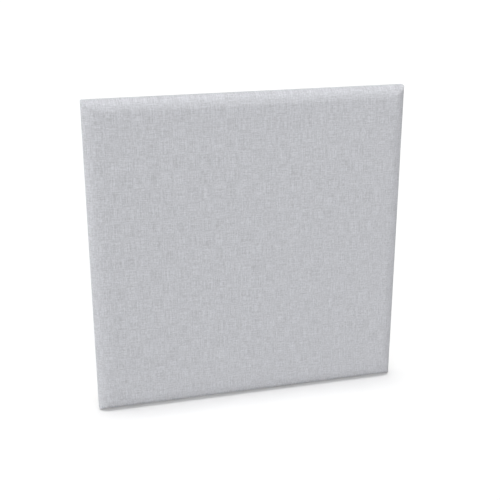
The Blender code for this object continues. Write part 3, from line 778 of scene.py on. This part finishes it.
def wire_staples(name, along, outward, turn, crown_y, seed):
    """Staples of flat wire, each given by its place along a side, its distance outward and the side's turn.

    A staple is a flat oval carried up one leg, round a bend, along the crown and down the other leg, which
    is the first one's mirror image. Each is then tilted and shifted by a little, and turned to its side
    about the y axis.
    """
    seeded = np.random.default_rng(seed)
    count = len(along)
    half = (STAPLE_WIDTH - STAPLE_WIRE[1]) / 2
    middle = STAPLE_BEND * STAPLE_BEND_MIDDLE
    side = np.array([-half, -half, -half + middle, -half + STAPLE_BEND])
    height = np.array([-STAPLE_LEG, -STAPLE_BEND, -middle, 0])
    side = np.concatenate([side, -side[::-1]])[:, None]
    height = np.concatenate([height, height[::-1]])[:, None]
    lean = np.radians(np.concatenate([STAPLE_LEAN, 180 - STAPLE_LEAN[::-1]]))[:, None]
    # The oval's points, across the wire's width and through its thickness; half of them mirror the others
    oval = STAPLE_OVAL * STAPLE_WIRE / 2
    oval_width, oval_thickness = np.concatenate([oval, -oval]).T
    local_side = side - np.cos(lean) * oval_thickness
    local_height = height + np.sin(lean) * oval_thickness
    tilt = np.radians(seeded.uniform(-STAPLE_TILT, STAPLE_TILT, count))[:, None, None]
    shift = seeded.uniform(-STAPLE_SHIFT, STAPLE_SHIFT, (count, 1, 1))
    rise = seeded.uniform(-STAPLE_RISE, STAPLE_RISE, (count, 1, 1)) - STAPLE_WIRE[1] / 2
    run = along[:, None, None] + shift + local_side * np.cos(tilt) - oval_width * np.sin(tilt)
    out = outward[:, None, None] + local_side * np.sin(tilt) + oval_width * np.cos(tilt)
    angle = turn[:, None, None]
    x = MIDDLE[0] + run * np.cos(angle) + out * np.sin(angle)
    z = MIDDLE[1] - run * np.sin(angle) + out * np.cos(angle)
    y = np.broadcast_to(crown_y + rise + local_height, x.shape)
    points = np.stack([x, y, z], axis=-1).reshape(-1, 3)
    rings, ring = local_side.shape
    first = np.arange(count)[:, None, None] * rings * ring
    near = np.arange(ring)
    faces = (first + ring_quads(rings, ring)).reshape(-1, 4).tolist()
    faces += (first[:, 0] + near[::-1]).tolist() + (first[:, 0] + (rings - 1) * ring + near).tolist()
    new_piece(name, points, faces, ZINC)


def along_sides(run, pitch, line, taken):
    """Places at a pitch along all four sides, apart from those that are already taken.

    Gives each place's distance along its side, its distance outward and its side's turn.
    """
    places = np.arange(-round(run / pitch), round(run / pitch) + 1) * pitch
    free = places[np.abs(places[:, None] - np.array(taken)).min(axis=1) > pitch / 4]
    turn = np.repeat(np.arange(4) * np.pi / 2, len(free))
    return np.tile(free, 4), np.full(4 * len(free), line), turn


# One more of the cloth's staples holds each corner's fold down, across the mitre
along, outward, turn = along_sides(COVER_RUN, STAPLE_PITCH, COVER_LINE, COVER_NODES)
along = np.concatenate([along, np.zeros(4)])
outward = np.concatenate([outward, np.full(4, CORNER_LINE)])
turn = np.concatenate([turn, np.arange(4) * np.pi / 2 + np.pi / 4])
crown_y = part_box("cover_staple_top_2")[1][1] - CROWN_SUNK
wire_staples("cover_staples", along, outward, turn, crown_y, seed=3)
along, outward, turn = along_sides(SCRIM_RUN, SCRIM_PITCH, SCRIM_LINE, SCRIM_NODES)
crown_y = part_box("scrim_staple_top_1")[1][1] - CROWN_SUNK
wire_staples("scrim_staples", along, outward, turn, crown_y, seed=5)


# Cleats and wall batten
# Strips of 12 mm and 9 mm birch plywood, each ripped to a 45 degree bevel: the cleats hook down behind
# the batten on the wall. Sawn edges show the plies, and the sharp edges are broken with sandpaper.
PLY = 0.0014
PLY_EASE = 0.0006
PLY_EASE_STEPS = 2
PLY_FACE = (0.80, 0.67, 0.48)
PLY_CROSS = (0.62, 0.46, 0.29)
PLY_GLUE = (0.26, 0.16, 0.09)
PLY_GLUE_WAVE = 0.22
PLY_FACING = 0.9
PLY_GRAIN = (0.05, 0.0012, 0.0012)
PLY_FIGURE = (0.22, 0.03, 0.03)
PLY_PORES = (0.0009, 0.0007, 0.0009)
PLY_RELIEF = 0.00025
MERGE_DISTANCE = 0.000005
FLAT_ANGLE = math.radians(2)
SHARP_ANGLE = math.radians(30)

ply = Finish("birch_plywood")
# Plies are half waves of the depth, every second one with its grain across, and dark glue between them
_, depth, _ = ply.split(ply.place((1, PLY, 1)))
layer_wave = (depth * math.pi).maths("SINE")
cross = layer_wave.maths("GREATER_THAN", 0.0)
glue = 1 - (layer_wave.maths("ABSOLUTE") / PLY_GLUE_WAVE).maths("MINIMUM", 1.0)
grain = ply.noise(ply.place(PLY_GRAIN), detail=3, rough=0.6)
figure = ply.noise(ply.place(PLY_FIGURE), detail=2)
end_pores = ply.noise(ply.place(PLY_PORES), detail=1)
face_tone = (grain - 0.5) * 0.9 + (figure - 0.5) * 0.8 + 0.25
# The plywood's broad faces look along y, and what is turned away from that is a sawn edge
_, facing, _ = ply.split(ply.node("ShaderNodeNewGeometry", output="Normal"))
on_face = facing.maths("ABSOLUTE").maths("GREATER_THAN", PLY_FACING)
edge_tone = cross * 0.55 + (end_pores - 0.5) * 0.8 + 0.15
tone = on_face * face_tone + (1 - on_face) * edge_tone
wood_colour = ply.mix(tone, rgb(*PLY_FACE), rgb(*PLY_CROSS))
PLYWOOD = ply.surface(
    Base_Color=ply.mix((1 - on_face) * glue * 0.8, wood_colour, rgb(*PLY_GLUE)),
    Roughness=0.55 + (grain - 0.5) * 0.3,
    Specular_IOR_Level=0.35,
    Normal=ply.bump(grain * 0.6 + end_pores * 0.4, PLY_RELIEF),
)


def eased(node_name, name, body):
    """A copy of a plywood CAD node whose sharp edges are broken by a narrow bevel.

    The copy's loose triangles are merged and its flats joined up first.
    """
    copy = bmesh.new()
    copy.from_mesh(NODES[node_name].data)
    bmesh.ops.remove_doubles(copy, verts=copy.verts, dist=MERGE_DISTANCE)
    bmesh.ops.dissolve_limit(copy, angle_limit=FLAT_ANGLE, verts=copy.verts, edges=copy.edges)
    mesh = bpy.data.meshes.new(name)
    copy.to_mesh(mesh)
    copy.free()
    piece = add_piece(name, mesh, PLYWOOD, body)
    ease = piece.modifiers.new("broken_edges", "BEVEL")
    ease.width = PLY_EASE
    ease.segments = PLY_EASE_STEPS
    ease.limit_method = "ANGLE"
    ease.angle_limit = SHARP_ANGLE
    ease.harden_normals = True
    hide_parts(node_name)


eased("cleat_left", "plywood_cleat_left", "panel")
eased("cleat_right", "plywood_cleat_right", "panel")
eased("wall_batten", "plywood_wall_batten", "wall_side")


# Screws
# Zinc-plated cross-recessed wood screws. Countersunk ones hold the cleats to the top rail, three to
# each, and one with a pan head holds each bumper to the bottom rail.
finish_nodes(ZINC, "_screw_")


# Bumpers
# Moulded dark grey rubber spacers with a fine matt skin, screwed to the bottom rail's back near its ends.
# They keep the foot off the wall, so that the panel hangs upright.
RUBBER_DARK = (0.070, 0.070, 0.072)
RUBBER_BLOOM = (0.130, 0.130, 0.132)
RUBBER_PATCH = (0.004, 0.004, 0.004)
RUBBER_SPARK = (0.0004, 0.0004, 0.0004)
RUBBER_RELIEF = 0.00008

rubber = Finish("moulded_rubber")
bloom = rubber.noise(rubber.place(RUBBER_PATCH), detail=3, rough=0.6)
spark = rubber.noise(rubber.place(RUBBER_SPARK), detail=2)
RUBBER = rubber.surface(
    Base_Color=rubber.mix(bloom, rgb(*RUBBER_DARK), rgb(*RUBBER_BLOOM)),
    Roughness=0.75 + (bloom - 0.5) * 0.3,
    Specular_IOR_Level=0.4,
    Normal=rubber.bump(spark, RUBBER_RELIEF),
)
finish_nodes(RUBBER, "bumper_left", "bumper_right")


# Size
# The CAD model's box.
low, high = cad_box
